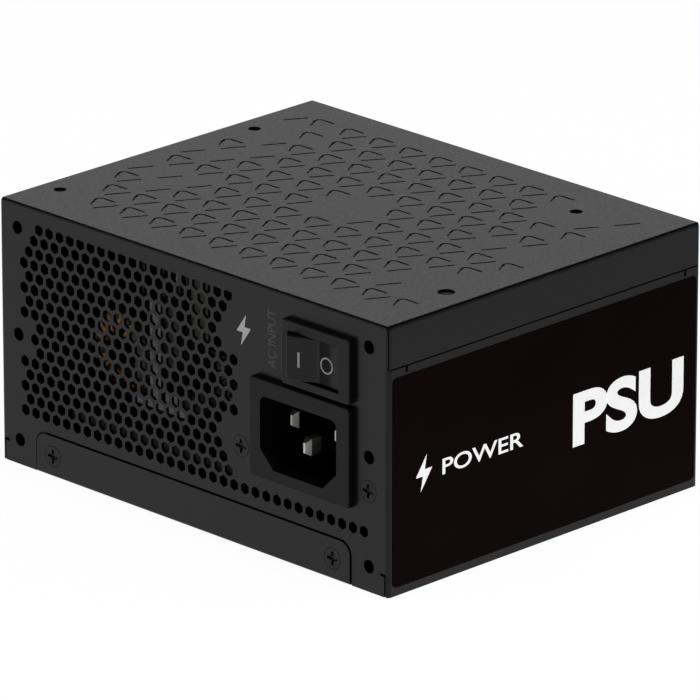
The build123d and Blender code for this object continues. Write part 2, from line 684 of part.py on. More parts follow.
def make_switch_rocker():
    """Rocker with a shallow V face and round ends, shown with its right half pressed in."""
    reach = ROCKER_END_R + 1
    rise = reach * math.tan(math.radians(ROCKER_TILT))
    wedge = Polygon(
        (-reach, -ROCKER_VALLEY - rise), (0, -ROCKER_VALLEY), (reach, -ROCKER_VALLEY - rise),
        (reach, ROCKER_BACK), (-reach, ROCKER_BACK), align=None)
    valley = wedge.vertices().sort_by(lambda v: math.hypot(v.X, v.Y + ROCKER_VALLEY))[0]
    outline = fillet(valley, 6.0) & Circle(ROCKER_END_R)
    height = ROCKER_OPENING_H - 2 * ROCKER_SIDE_GAP
    rocker = extrude(outline, amount=height / 2, both=True)
    front = [e for e in rocker.edges() if e.center().Y < -ROCKER_VALLEY + 0.1]
    rocker = fillet(front, 0.3)
    rocker += Cylinder(TRUNNION_R, ROCKER_OPENING_H + 2 * TRUNNION_L)
    return Pos(ROCKER_X, ROCKER_PIVOT_Y, ROCKER_Z) * Rot(0, 0, ROCKER_TILT) * rocker


def make_switch_terminals():
    pocket_floor = ROCKER_PIVOT_Y + ROCKER_POCKET
    return group([terminal_block(x, pocket_floor + 0.2, TERMINAL_END_Y) for x in terminal_places()])


# ---- fasteners and labels ------------------------------------------------------
def make_cover_screws():
    screws = []
    for x in (-FLANGE_SCREW_X, FLANGE_SCREW_X):
        face = HALF_D + FLANGE_PROUD
        screws.append(Pos(x, -face, FLANGE_SCREW_Z) * FACING_REAR * flush_screw(3.4))
        screws.append(Pos(x, face, FLANGE_SCREW_Z) * FACING_FRONT * flush_screw(3.4))
    return group(screws)


def make_side_label(side):
    """Thin printed label on one side wall."""
    outline = Plane.YZ * RectangleRounded(LABEL_L, LABEL_H, LABEL_R)
    x = HALF_W if side > 0 else -HALF_W - LABEL_T
    return Pos(x, 0, LABEL_Z) * extrude(outline, amount=LABEL_T)


# ---- main board and what hangs from it ------------------------------------------
def make_main_board():
    board = block(-60, 60, -43.5, SOCKET_BACK - MODULAR_T - 0.5, BOARD_BOTTOM, BOARD_TOP)
    board -= block(29.5, 61, -48, -33.5, BOARD_BOTTOM - 1, BOARD_TOP + 1)
    board -= [rod_z(x, y, BOARD_BOTTOM - 1, BOARD_TOP + 1, 1.6) for x, y, _ in STANDOFFS]
    return board


def make_board_standoffs():
    posts = []
    for x, y, r in STANDOFFS:
        post = rod_z(x, y, BOARD_TOP, CASE_H - SHEET, STANDOFF_R)
        post -= rod_z(x, y, BOARD_TOP - 1, CASE_H, SCREW_SHANK_R)
        posts.append(post - rod_z(x, y, CASE_H - 2.2, CASE_H, r))
    return group(posts)


def make_board_screws():
    screw = pan_screw(BOARD_T + 3.4, 2.7, 1.7, SCREW_SHANK_R)
    return group([Pos(x, y, BOARD_BOTTOM) * FACING_DOWN * screw for x, y, _ in STANDOFFS])


def make_insulation_sheet():
    sheet = block(-51.5, 59.5, -44, 36, CASE_H - SHEET - 0.4, CASE_H - SHEET)
    return sheet - [rod_z(x, y, CASE_H - 2, CASE_H, STANDOFF_R + 0.5) for x, y, _ in STANDOFFS]


def ring_y(x, y, z, r_out, r_in, t):
    """Ring with its axis along Y."""
    ring = rod_y(x, z, y - t / 2, y + t / 2, r_out) - rod_y(x, z, y - t, y + t, r_in)
    return fillet(ring.edges(), 1.3)


def toroid_turns(x, y, z, r_out, r_in, t, count, wire_r):
    """Separate turns of wire around a ring whose axis lies along Y."""
    w = r_out - r_in + 2 * wire_r
    h = t + 2 * wire_r
    middle = (r_out + r_in) / 2
    loop = RectangleRounded(w, h, 1.2 + wire_r).wire()
    start = loop @ 0
    turn = sweep(Plane(origin=start, z_dir=loop % 0) * Circle(wire_r - 0.03), path=loop)
    turns = []
    for n in range(count):
        angle = 55 + 250 * n / (count - 1)
        turns.append(Pos(x, y, z) * Rot(0, -angle, 0) * Pos(middle, 0, 0) * turn)
    return turns


def choke_leads(x, y, z, spread, r):
    """Two straight leads from a choke up to the board."""
    return [rod_z(x - spread, y, z, BOARD_BOTTOM, r), rod_z(x + spread, y, z, BOARD_BOTTOM, r)]


def make_choke_winding(place, count, wire_r):
    x, y, z, r_out, r_in, t = place
    turns = toroid_turns(x, y, z, r_out, r_in, t, count, wire_r)
    lead_y = y + t / 2 + wire_r
    leads = choke_leads(x, lead_y + 2 * wire_r + 0.05, z + 6.0, 3.2, wire_r)
    return group(turns + leads)


def make_primary_heatsink():
    y0, y1 = HEATSINK_Y
    face = HEATSINK_FACE_X
    web = block(face - HEATSINK_T, face, y0, y1, HEATSINK_Z, HEATSINK_TOP)
    foot = block(face - 8.6, face + 7.7, y0, y1, HEATSINK_Z - 2.2, HEATSINK_Z)
    fins = [block(face + dx, face + dx + 1.4, y0, y1, HEATSINK_Z, HEATSINK_Z + 2.4) for dx in (1.5, 3.9, 6.3)]
    legs = [block(face - 2.7, face - 0.9, y, y + 4, HEATSINK_TOP, BOARD_BOTTOM) for y in (-36, -18)]
    return web + foot + fins + legs


def power_package(y):
    """Leaded power transistor lying against the heatsink."""
    face = HEATSINK_FACE_X
    body = block(face, face + 4.4, y, y + 10, 32, 47)
    leads = []
    for lead_y in (y + 2.2, y + 4.7, y + 7.2):
        leads.append(block(face + 1.9, face + 2.6, lead_y, lead_y + 0.8, 47, BOARD_BOTTOM))
    return body + leads


def make_primary_transistors():
    return group([power_package(y) for y in (-42.0, -28.5)])


def can(x, y, r, z0, z1):
    """Electrolytic can hanging from the board, with its crimp groove and vent face."""
    body = fillet(rod_z(x, y, z0, z1, r).edges().group_by(Axis.Z)[0], min(1.2, r * 0.25))
    groove = rod_z(x, y, z1 - 3.0, z1 - 2.0, r + 1) - rod_z(x, y, z1 - 3.0, z1 - 2.0, r - 0.4)
    cross = block(x - r * 0.6, x + r * 0.6, y - 0.2, y + 0.2, z0 - 1, z0 + 0.3)
    cross += block(x - 0.2, x + 0.2, y - r * 0.6, y + r * 0.6, z0 - 1, z0 + 0.3)
    legs = [rod_z(x + s * r * 0.45, y, z1 - 0.5, BOARD_BOTTOM, 0.4) for s in (-1, 1)]
    return body - groove - cross + legs


def make_bulk_capacitor():
    return can(-41.5, 2.5, 15.0, 19.5, BOARD_BOTTOM - 0.4)


def make_output_capacitors():
    return group([can(-30 + 10.5 * n, 31.0, 4.0, 39.0, BOARD_BOTTOM - 0.4) for n in range(6)])


def film_box(x0, x1, y0, y1, z0):
    box = block(x0, x1, y0, y1, z0, BOARD_BOTTOM - 0.6)
    box = fillet(box.edges().group_by(Axis.Z)[0], 0.8)
    middle = (x0 + x1) / 2
    return box + [rod_z(middle, y, BOARD_BOTTOM - 1, BOARD_BOTTOM, 0.4) for y in (y0 + 2, y1 - 2)]


def make_film_capacitors():
    return group([film_box(-10.0, -4.6, -40, -26, 40.0), film_box(17.5, 26.5, -43, -24, 42.5)])


def make_disc_capacitors():
    discs = []
    for x in (51.5, 57.0):
        disc = Pos(x, -15, 48) * Rot(0, 90, 0) * Cylinder(4.2, 3.2)
        disc = fillet(disc.edges(), 1.2)
        discs.append(disc + [rod_z(x, y, 50, BOARD_BOTTOM, 0.35) for y in (-17.6, -12.4)])
    return group(discs)


def make_bridge_rectifier():
    body = chamfer(block(22, 46, -9, -5.2, 35, 50).edges().group_by(Axis.Z)[0].filter_by(Axis.Y)[0:1], 3.0)
    return body + [block(x, x + 1.2, -7.6, -6.6, 50, BOARD_BOTTOM) for x in (24, 30, 36, 42)]


def make_transformer_core():
    core = block(-21, 13, -4, 8, 20, 52)
    core = fillet(core.edges().filter_by(Axis.Y), 0.8)
    core -= block(-15, -9.0, -5, 9, 26, 46)
    core -= block(1.0, 7, -5, 9, 26, 46)
    return core


def make_transformer_winding():
    winding = Pos(-4, 2, 36) * extrude(RectangleRounded(21.8, 23.6, 5), amount=9.8, both=True)
    winding -= block(-9.0, 1.0, -4, 8, 20, 52)
    return winding + [rod_z(x, y, 45.8, BOARD_BOTTOM, 0.7) for x in (-9, -4, 1) for y in (-7.5, 11.5)]


def make_standby_transformer():
    body = block(20, 36, 2, 16, 40, 54)
    body = fillet(body.edges().filter_by(Axis.Z), 1.5)
    return body + [rod_z(x, y, 54, BOARD_BOTTOM, 0.5) for x in (22, 28, 34) for y in (4, 14)]


def make_rectifier_card():
    return block(-22, 18, 20.6, 22.2, 28, BOARD_BOTTOM)


def make_rectifier_chips():
    return group([block(x, x + 5.2, 22.2, 23.4, z, z + 6.2) for x in CHIP_X for z in CHIP_Z])


def make_fuse():
    body = rod_x(-21.5, 52.4, 33, 49, 2.6)
    caps = [rod_x(-21.5, 52.4, x, x + 3.5, 2.9) for x in (32, 46.5)]
    return body + caps + [rod_z(x, -21.5, 53, BOARD_BOTTOM, 0.5) for x in (33.5, 48.5)]


# ---- output side -----------------------------------------------------------------
def make_modular_board():
    return block(-59, 59, SOCKET_BACK - MODULAR_T, SOCKET_BACK, 17.6, BOARD_BOTTOM - 0.2)


def make_bus_bars():
    bars = []
    for x in (-46, -18, 6, 26):
        foot = block(x - 4, x + 4, 36.2, SOCKET_BACK - MODULAR_T, 50.6, 51.8)
        bars.append(foot + block(x - 4, x + 4, 36.2, 37.4, 51.8, BOARD_BOTTOM))
    return group(bars)


def pin_cells(columns, pitch):
    """Centres of a two-row pin field, in the plane of its socket."""
    first = -pitch * (columns - 1) / 2
    return [(first + pitch * n, s * pitch / 2) for n in range(columns) for s in (-1, 1)]


def output_socket(x, z, columns):
    """Keyed two-row socket, open towards +Y, with a latch ramp on its upper side."""
    w = columns * PIN_PITCH + 1.2
    body = panel(w, SOCKET_H, 0.5, x, z, SOCKET_BACK, SOCKET_FRONT)
    ramp = Plane.YZ * Polygon((0, 0), (-1.4, 0), (0, 0.9), align=None)
    body += Pos(x, SOCKET_FRONT, z + SOCKET_H / 2) * extrude(ramp, amount=1.6, both=True)
    for n, (dx, dz) in enumerate(pin_cells(columns, PIN_PITCH)):
        body -= contact_cell(x + dx, z + dz, CELL, n % 3 == 0)
        body -= pin_block(x + dx, z + dz, SOCKET_BACK - 1)
    return body


def contact_cell(x, z, size, keyed=False):
    """Square cut for one contact, with its lower corners left on where it is keyed."""
    outline = Rectangle(size, size)
    if keyed:
        outline = chamfer(outline.vertices().group_by(Axis.Y)[0], size / 4)
    return upright_prism(outline, x, z, SOCKET_BACK + CELL_FLOOR, SOCKET_FRONT + 1)


def pin_block(x, z, y0):
    return block(x - PIN_HALF, x + PIN_HALF, y0, SOCKET_FRONT - PIN_INSET, z - PIN_HALF, z + PIN_HALF)


def make_sockets(name):
    return group([output_socket(x, z, columns) for x, z, columns in SOCKETS[name]])


def graphics_cells():
    return pin_cells(GRAPHICS_COLUMNS, GRAPHICS_PITCH)


def sense_cells():
    return [(-3.0 + 2.0 * n, 4.0) for n in range(4)]


def make_graphics_socket():
    """Twelve power contacts in two rows with a row of four small signal contacts."""
    w = GRAPHICS_COLUMNS * GRAPHICS_PITCH + 1.6
    body = panel(w, GRAPHICS_H, 0.5, GRAPHICS_X, GRAPHICS_Z, SOCKET_BACK, SOCKET_FRONT)
    for dx, dz in graphics_cells():
        x, z = GRAPHICS_X + dx, GRAPHICS_Z + dz - 1.2
        body -= contact_cell(x, z, GRAPHICS_CELL)
        body -= pin_block(x, z, SOCKET_BACK - 1)
    for dx, dz in sense_cells():
        x, z = GRAPHICS_X + dx, GRAPHICS_Z + dz - 0.3
        body -= contact_cell(x, z, SENSE_CELL)
    return body


def make_socket_pins():
    pins = []
    for places in SOCKETS.values():
        for x, z, columns in places:
            pins += [pin_block(x + dx, z + dz, SOCKET_BACK) for dx, dz in pin_cells(columns, PIN_PITCH)]
    for dx, dz in graphics_cells():
        pins.append(pin_block(GRAPHICS_X + dx, GRAPHICS_Z + dz - 1.2, SOCKET_BACK))
    return group([chamfer(pin.edges().group_by(Axis.Y)[-1], 0.2) for pin in pins])


# ---- wires held inside the case ----------------------------------------------------
def make_mains_wires():
    """Leads from the inlet and the switch up to the main board."""
    wires = []
    for name in ("line", "neutral"):
        x, z, _ = BLADE_TABS[name]
        wires.append(tube([(x, TAB_BACK, z), (x, -13, z), (x, -13, BOARD_BOTTOM)], [5.0], WIRE_R))
    turn_y = TERMINAL_END_Y + 3.1
    for x in terminal_places():
        route = [(x, TERMINAL_END_Y, SWITCH_Z), (x, turn_y, SWITCH_Z), (x, turn_y, BOARD_BOTTOM)]
        wires.append(tube(route, [WIRE_BEND], WIRE_R))
    return group(wires)


def make_earth_wire():
    x, z, _ = BLADE_TABS["earth"]
    return tube([(x, TAB_BACK, z), (x, -16.6, z), (x, -16.6, BOARD_BOTTOM)], [3.8], WIRE_R)


def make_fan_lead():
    """Flat pair from the fan hub along a strut and up to the board."""
    z = FAN_TOP + FAN_WIRE_R
    wires = []
    for y in (-FAN_WIRE_R - 0.05, FAN_WIRE_R + 0.05):
        wires.append(tube([(8, y, z), (53, y, z), (53, y, BOARD_BOTTOM)], [7.0], FAN_WIRE_R))
    return group(wires)


PARTS = {
    "case_shell": make_case_shell,
    "fan_cover": make_fan_cover,
    "fan_grille": make_fan_grille,
    "cover_screws": make_cover_screws,
    "right_label": lambda: make_side_label(1),
    "left_label": lambda: make_side_label(-1),
    "fan_frame": make_fan_frame,
    "fan_motor_mount": make_fan_motor_mount,
    "fan_rotor": make_fan_rotor,
    "fan_magnet": make_fan_magnet,
    "fan_shaft": make_fan_shaft,
    "fan_bearing": make_fan_bearing,
    "fan_stator": make_fan_stator,
    "fan_motor_board": make_fan_motor_board,
    "fan_screws": make_fan_screws,
    "fan_lead": make_fan_lead,
    "inlet_housing": make_inlet_housing,
    "inlet_line_tab": lambda: make_inlet_tab("line"),
    "inlet_neutral_tab": lambda: make_inlet_tab("neutral"),
    "inlet_earth_tab": lambda: make_inlet_tab("earth"),
    "inlet_screws": make_inlet_screws,
    "switch_housing": make_switch_housing,
    "switch_rocker": make_switch_rocker,
    "switch_terminals": make_switch_terminals,
    "mains_wires": make_mains_wires,
    "earth_wire": make_earth_wire,
    "main_board": make_main_board,
    "board_standoffs": make_board_standoffs,
    "board_screws": make_board_screws,
    "insulation_sheet": make_insulation_sheet,
    "boost_choke_core": lambda: ring_y(*BOOST_CHOKE),
    "boost_choke_winding": lambda: make_choke_winding(BOOST_CHOKE, 11, 0.8),
    "line_choke_core": lambda: ring_y(*LINE_CHOKE),
    "line_choke_winding": lambda: make_choke_winding(LINE_CHOKE, 14, 0.7),
    "primary_heatsink": make_primary_heatsink,
    "primary_transistors": make_primary_transistors,
    "bridge_rectifier": make_bridge_rectifier,
    "bulk_capacitor": make_bulk_capacitor,
    "film_capacitors": make_film_capacitors,
    "disc_capacitors": make_disc_capacitors,
    "mains_fuse": make_fuse,
    "transformer_core": make_transformer_core,
    "transformer_winding": make_transformer_winding,
    "standby_transformer": make_standby_transformer,
    "rectifier_card": make_rectifier_card,
    "rectifier_chips": make_rectifier_chips,
    "output_capacitors": make_output_capacitors,
    "bus_bars": make_bus_bars,
    "modular_board": make_modular_board,
    "motherboard_sockets": lambda: make_sockets("motherboard_sockets"),
    "eight_pin_sockets": lambda: make_sockets("eight_pin_sockets"),
    "six_pin_sockets": lambda: make_sockets("six_pin_sockets"),
    "graphics_socket": make_graphics_socket,
    "socket_pins": make_socket_pins,
}


def main():
    os.makedirs("parts", exist_ok=True)
    for name, make in PARTS.items():
        export_step(make(), "parts/" + name + ".step")


main()
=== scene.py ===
import json
import math

import bpy
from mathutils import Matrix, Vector
from mathutils.bvhtree import BVHTree


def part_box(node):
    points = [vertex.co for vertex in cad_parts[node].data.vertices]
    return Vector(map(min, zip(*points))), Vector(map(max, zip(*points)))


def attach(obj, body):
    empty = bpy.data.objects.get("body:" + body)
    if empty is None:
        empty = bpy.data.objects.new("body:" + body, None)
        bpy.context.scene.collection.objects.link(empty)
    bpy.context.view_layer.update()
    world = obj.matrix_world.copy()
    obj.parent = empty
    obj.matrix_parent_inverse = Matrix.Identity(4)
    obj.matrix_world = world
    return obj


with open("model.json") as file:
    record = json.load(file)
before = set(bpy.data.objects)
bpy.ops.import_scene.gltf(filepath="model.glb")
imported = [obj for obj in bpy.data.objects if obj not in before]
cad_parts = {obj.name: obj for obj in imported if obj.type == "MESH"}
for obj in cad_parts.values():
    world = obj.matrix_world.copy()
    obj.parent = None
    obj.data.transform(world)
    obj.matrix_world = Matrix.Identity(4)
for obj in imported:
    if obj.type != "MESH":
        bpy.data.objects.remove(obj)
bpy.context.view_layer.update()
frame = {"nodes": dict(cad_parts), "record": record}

MM = 0.001
NODES = frame["nodes"]
CASE_LOW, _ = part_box("case_shell")

FLOOR_GLOW = 0.90
FLOOR_GLOW_RIGHT = 0.60
FLOOR_TONE = 0.22
FLOOR_FADE = (0.09, 0.14)
FLOOR_HALF = 6.0
FLOOR_GAP = 0.02 * MM
TO_THE_RIGHT = (0.7071, 0.7071, 0.0)
WALL_BANDS = ((0.0, 0.02), (0.19, 0.03), (0.25, 1.50), (0.37, 1.50), (0.41, 0.005))
LAMP_PLACE = (0.3, -0.2, 1.6)
LAMP_SIZE = 0.7
LAMP_WATTS = 9.0

CAMERA_AZIMUTH = 45.08
CAMERA_ELEVATION = 19.92
CAMERA_DISTANCE = 2.0054
CAMERA_TARGET = (0.46 * MM, 0.0, 29.7 * MM)
CAMERA_SENSOR = 36.0
CAMERA_LENS = 452.5
CAMERA_REACH = 50.0


# ---- camera --------------------------------------------------------------------
def make_camera():
    """Long lens, a little above the case, looking at its upright right rear edge."""
    azimuth = math.radians(CAMERA_AZIMUTH)
    elevation = math.radians(CAMERA_ELEVATION)
    flat = math.cos(elevation)
    back = Vector((math.sin(azimuth) * flat, -math.cos(azimuth) * flat, math.sin(elevation)))
    data = bpy.data.cameras.new("camera")
    data.sensor_width = CAMERA_SENSOR
    data.lens = CAMERA_LENS
    data.clip_end = CAMERA_REACH
    camera = bpy.data.objects.new("camera", data)
    bpy.context.scene.collection.objects.link(camera)
    camera.location = Vector(CAMERA_TARGET) + back * CAMERA_DISTANCE
    camera.rotation_mode = "QUATERNION"
    camera.rotation_quaternion = (-back).to_track_quat("-Z", "Y")
    bpy.context.scene.camera = camera


make_camera()


# ---- node helpers ----------------------------------------------------------------
def set_range(node, low, high, out_low, out_high):
    """Sets the four ends of a Map Range node."""
    ends = (("From Min", low), ("From Max", high), ("To Min", out_low), ("To Max", out_high))
    for name, number in ends:
        node.inputs[name].default_value = number


def set_stops(ramp, stops):
    """Gives a ramp node grey stops, each a place and a level."""
    elements = ramp.color_ramp.elements
    while len(elements) < len(stops):
        elements.new(1.0)
    for element, (place, level) in zip(elements, stops):
        element.position = place
        element.color = (level, level, level, 1)


class Shader:
    """A node material under construction, around one Principled shader."""

    def __init__(self, name, color, roughness, metallic=0.0, ior=1.5, specular=0.5):
        self.material = bpy.data.materials.new(name)
        self.material.use_nodes = True
        self.nodes = self.material.node_tree.nodes
        self.links = self.material.node_tree.links
        self.bsdf = self.nodes["Principled BSDF"]
        self.set("Base Color", (*color, 1.0))
        self.set("Roughness", roughness)
        self.set("Metallic", metallic)
        self.set("IOR", ior)
        self.set("Specular IOR Level", specular)
        self.height = None

    def set(self, socket, value):
        self.bsdf.inputs[socket].default_value = value

    def add(self, kind, **inputs):
        node = self.nodes.new("ShaderNode" + kind)
        for name, value in inputs.items():
            node.inputs[name].default_value = value
        return node

    def place(self):
        """Object coordinates in metres."""
        return self.nodes.new("ShaderNodeTexCoord").outputs["Object"]

    def noise(self, scale, detail=3.0, roughness=0.5, stretch=None):
        node = self.add("TexNoise", Scale=scale, Detail=detail, Roughness=roughness)
        source = self.place()
        if stretch:
            mapping = self.add("Mapping", Scale=stretch)
            self.links.new(source, mapping.inputs["Vector"])
            source = mapping.outputs["Vector"]
        self.links.new(source, node.inputs["Vector"])
        return node.outputs["Fac"]

    def cells(self, scale, feature="F1"):
        node = self.add("TexVoronoi", Scale=scale)
        node.feature = feature
        self.links.new(self.place(), node.inputs["Vector"])
        return node.outputs["Distance"]

    def along(self, axis):
        """Object coordinate along X, Y or Z, in metres."""
        split = self.nodes.new("ShaderNodeSeparateXYZ")
        self.links.new(self.place(), split.inputs[0])
        return split.outputs[axis]

    def grade_color(self, value, low, high, first, last):
        """Colour that runs from one shade to another between two places."""
        self.vary_color(self.remap(value, low, high, 0.0, 1.0), first, last, 0.0, 1.0)

    def remap(self, value, low, high, out_low, out_high):
        node = self.nodes.new("ShaderNodeMapRange")
        self.links.new(value, node.inputs["Value"])
        set_range(node, low, high, out_low, out_high)
        return node.outputs["Result"]

    def vary_color(self, value, dark, light, low=0.35, high=0.65):
        """Colour between two shades by a 0 to 1 pattern."""
        ramp = self.nodes.new("ShaderNodeValToRGB")
        ramp.color_ramp.elements[0].position = low
        ramp.color_ramp.elements[0].color = (*dark, 1)
        ramp.color_ramp.elements[1].position = high
        ramp.color_ramp.elements[1].color = (*light, 1)
        self.links.new(value, ramp.inputs["Fac"])
        self.links.new(ramp.outputs["Color"], self.bsdf.inputs["Base Color"])

    def vary_roughness(self, value, low, high):
        self.links.new(self.remap(value, 0.3, 0.7, low, high), self.bsdf.inputs["Roughness"])

    def bump(self, value, height_mm, strength=1.0):
        """Adds relief of the given height; several calls stack."""
        node = self.add("Bump", Strength=strength, Distance=height_mm * MM)
        self.links.new(value, node.inputs["Height"])
        if self.height:
            self.links.new(self.height, node.inputs["Normal"])
        self.height = node.outputs["Normal"]
        self.links.new(self.height, self.bsdf.inputs["Normal"])


# Windings turn darker above a set height, fading in over a short span.
DARK_UPPER_END = (0.010, 0.007, 0.005)
DARKER_ABOVE_Z = 40 * MM
DARKER_FADE = 2 * MM
# Dark nickel behind the blade tips is painted shade for the depth of the inlet's cavity; it fades in
# between these two distances behind the tip.
NICKEL_IN_PAINTED_SHADE = (0.035, 0.035, 0.034)
PAINTED_SHADE_FADE = (1.4 * MM, 1.6 * MM)
# Span and stops of the rocker strip whose reflection is turned down: painted shade standing in for a
# hollow valley.
HOLLOW_SHADE_SPAN = (41 * MM, 47 * MM)
HOLLOW_SHADE_STOPS = ((0.10, 0.5), (0.18, 0.14), (0.60, 0.16), (0.85, 0.5))


def shade(color, factor):
    return tuple(min(1.0, c * factor) for c in color)


# ---- materials -------------------------------------------------------------------
def powder_coat(name, base, roughness=0.30, ior=1.31):
    """Fine textured black paint on sheet steel, with a soft sheen."""
    s = Shader(name, base, roughness, ior=ior)
    s.vary_color(s.noise(400, 3), shade(base, 0.85), shade(base, 1.18))
    s.vary_roughness(s.noise(1400, 2), roughness - 0.03, roughness + 0.03)
    s.bump(s.noise(5200, 2, 0.6), 0.004, 0.4)
    return s.material


def moulded_shader(name, base, roughness, ior):
    s = Shader(name, base, roughness, ior=ior)
    s.vary_color(s.noise(140, 3), shade(base, 0.88), shade(base, 1.14))
    s.vary_roughness(s.noise(900, 2), roughness - 0.05, roughness + 0.06)
    s.bump(s.noise(4200, 2, 0.55), 0.01, 0.4)
    return s


def moulded_plastic(name, base, roughness=0.40, ior=1.30):
    """Moulded plastic with spark-eroded grain."""
    return moulded_shader(name, base, roughness, ior).material


def printed_film(name, base):
    """Glossy polyester label film with a faint unevenness of the glue below."""
    s = Shader(name, base, 0.16, ior=1.30, specular=0.03)
    s.vary_color(s.noise(35, 2), shade(base, 0.92), shade(base, 1.1))
    s.vary_roughness(s.noise(400, 3), 0.13, 0.2)
    s.bump(s.noise(160, 2), 0.004, 0.25)
    return s.material


def draw_lines(s, roughness, stretch):
    """Fine lines in the roughness and relief of a metal, longest where the stretch is least."""
    lines = s.noise(1600, 3, 0.5, stretch)
    s.vary_roughness(lines, roughness - 0.07, roughness + 0.1)
    s.bump(lines, 0.006, 0.4)


def plated_metal(name, base, roughness, turn_lines=(1, 0.06, 1)):
    """Plated or ground metal with fine drawn lines along one axis."""
    s = Shader(name, base, roughness, metallic=1.0)
    s.vary_color(s.noise(300, 4), shade(base, 0.86), shade(base, 1.05))
    draw_lines(s, roughness, turn_lines)
    return s.material


def contact_metal(name, base, roughness):
    """Nickel plate with painted shade: full colour on the tips of the inlet blades, painted dark behind
    them where they sit deep in the inlet's cavity.
    """
    s = Shader(name, base, roughness, metallic=1.0)
    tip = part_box("inlet_line_tab")[0].y
    s.grade_color(s.along("Y"), tip + PAINTED_SHADE_FADE[0], tip + PAINTED_SHADE_FADE[1], base, NICKEL_IN_PAINTED_SHADE)
    draw_lines(s, roughness, (1, 0.06, 1))
    return s.material


def rocker_plastic(name, base):
    """Moulded plastic whose pressed half reflects less over a strip near its middle: painted shade for
    the hollow of the rocker's valley, which its shape does not have.
    """
    s = moulded_shader(name, base, 0.34, 1.30)
    ramp = s.nodes.new("ShaderNodeValToRGB")
    s.links.new(s.remap(s.along("X"), *HOLLOW_SHADE_SPAN, 0.0, 1.0), ramp.inputs["Fac"])
    set_stops(ramp, HOLLOW_SHADE_STOPS)
    s.links.new(ramp.outputs["Color"], s.bsdf.inputs["Specular IOR Level"])
    return s.material


def dark_screw(name, base):
    s = Shader(name, base, 0.34, metallic=0.85)
    s.vary_color(s.noise(900, 4), shade(base, 0.7), shade(base, 1.35))
    s.vary_roughness(s.noise(2200, 3), 0.26, 0.44)
    s.bump(s.noise(3500, 2), 0.01, 0.4)
    return s.material


def circuit_board(name, base):
    """Solder mask over traces, with the woven glass just showing."""
    s = Shader(name, base, 0.32, ior=1.5)
    traces = s.cells(260, "DISTANCE_TO_EDGE")
    s.vary_color(traces, shade(base, 1.5), base, 0.05, 0.12)
    weave = s.noise(1800, 1, 0.4, (1, 1, 6))
    s.vary_roughness(weave, 0.27, 0.4)
    s.bump(traces, 0.03, 0.3)
    s.bump(weave, 0.006, 0.3)
    return s.material


def wound_copper(name, base, dark_ends=False):
    """Enamelled copper wire under a clear coat; its upper ends can be darker above a set height."""
    s = Shader(name, base, 0.3, metallic=1.0)
    s.set("Coat Weight", 0.5)
    s.set("Coat Roughness", 0.15)
    if dark_ends:
        s.grade_color(s.along("Z"), DARKER_ABOVE_Z, DARKER_ABOVE_Z + DARKER_FADE, base, DARK_UPPER_END)
    else:
        s.vary_color(s.noise(500, 3), shade(base, 0.72), shade(base, 1.12))
    s.vary_roughness(s.noise(1500, 2), 0.24, 0.4)
    s.bump(s.noise(2600, 2), 0.008, 0.3)
    return s.material


def cast_solid(name, base, roughness, grain, depth):
    """Sintered, painted or dipped solid with a slightly grainy skin."""
    s = Shader(name, base, roughness)
    s.vary_color(s.noise(grain * 0.2, 4), shade(base, 0.8), shade(base, 1.2))
    s.vary_roughness(s.noise(grain * 0.5, 3), roughness - 0.06, roughness + 0.08)
    s.bump(s.noise(grain, 3, 0.6), depth, 0.5)
    return s.material


def wrapped_tape(name, base):
    """Layers of polyester tape, each edge a faint step."""
    s = Shader(name, base, 0.28, ior=1.5)
    steps = s.noise(260, 1, 0.3, (0.15, 0.15, 3.0))
    s.vary_color(steps, shade(base, 0.7), shade(base, 1.1))
    s.vary_roughness(s.noise(700, 2), 0.22, 0.36)
    s.bump(steps, 0.05, 0.5)
    return s.material


def shrink_sleeve(name, base):
    """Printed heat-shrink sleeve over an aluminium can."""
    s = Shader(name, base, 0.25, ior=1.5)
    s.vary_color(s.noise(120, 3), shade(base, 0.8), shade(base, 1.3))
    s.vary_roughness(s.noise(600, 2), 0.2, 0.32)
    s.bump(s.noise(320, 2, 0.4, (1, 1, 0.3)), 0.02, 0.3)
    return s.material


def insulated_wire(name, base):
    """PVC insulation with the strands just showing through."""
    s = Shader(name, base, 0.4, ior=1.5)
    strands = s.noise(1800, 1, 0.4, (1, 1, 0.1))
    s.vary_color(s.noise(300, 2), shade(base, 0.85), shade(base, 1.15))
    s.vary_roughness(strands, 0.34, 0.48)
    s.bump(strands, 0.02, 0.4)
    return s.material


def printed_ink(name, base, painted_glow=0.0):
    """Pad-printed or screen-printed ink; white ink gets a painted glow, an emission that brightens it
    beyond the light it receives.
    """
    s = Shader(name, base, 0.5, ior=1.45)
    s.set("Emission Color", (1.0, 1.0, 1.0, 1.0))
    s.set("Emission Strength", painted_glow)
    s.vary_color(s.noise(1500, 3), shade(base, 0.93), base)
    s.vary_roughness(s.noise(900, 2), 0.42, 0.56)
    s.bump(s.noise(3200, 2), 0.004, 0.3)
    return s.material


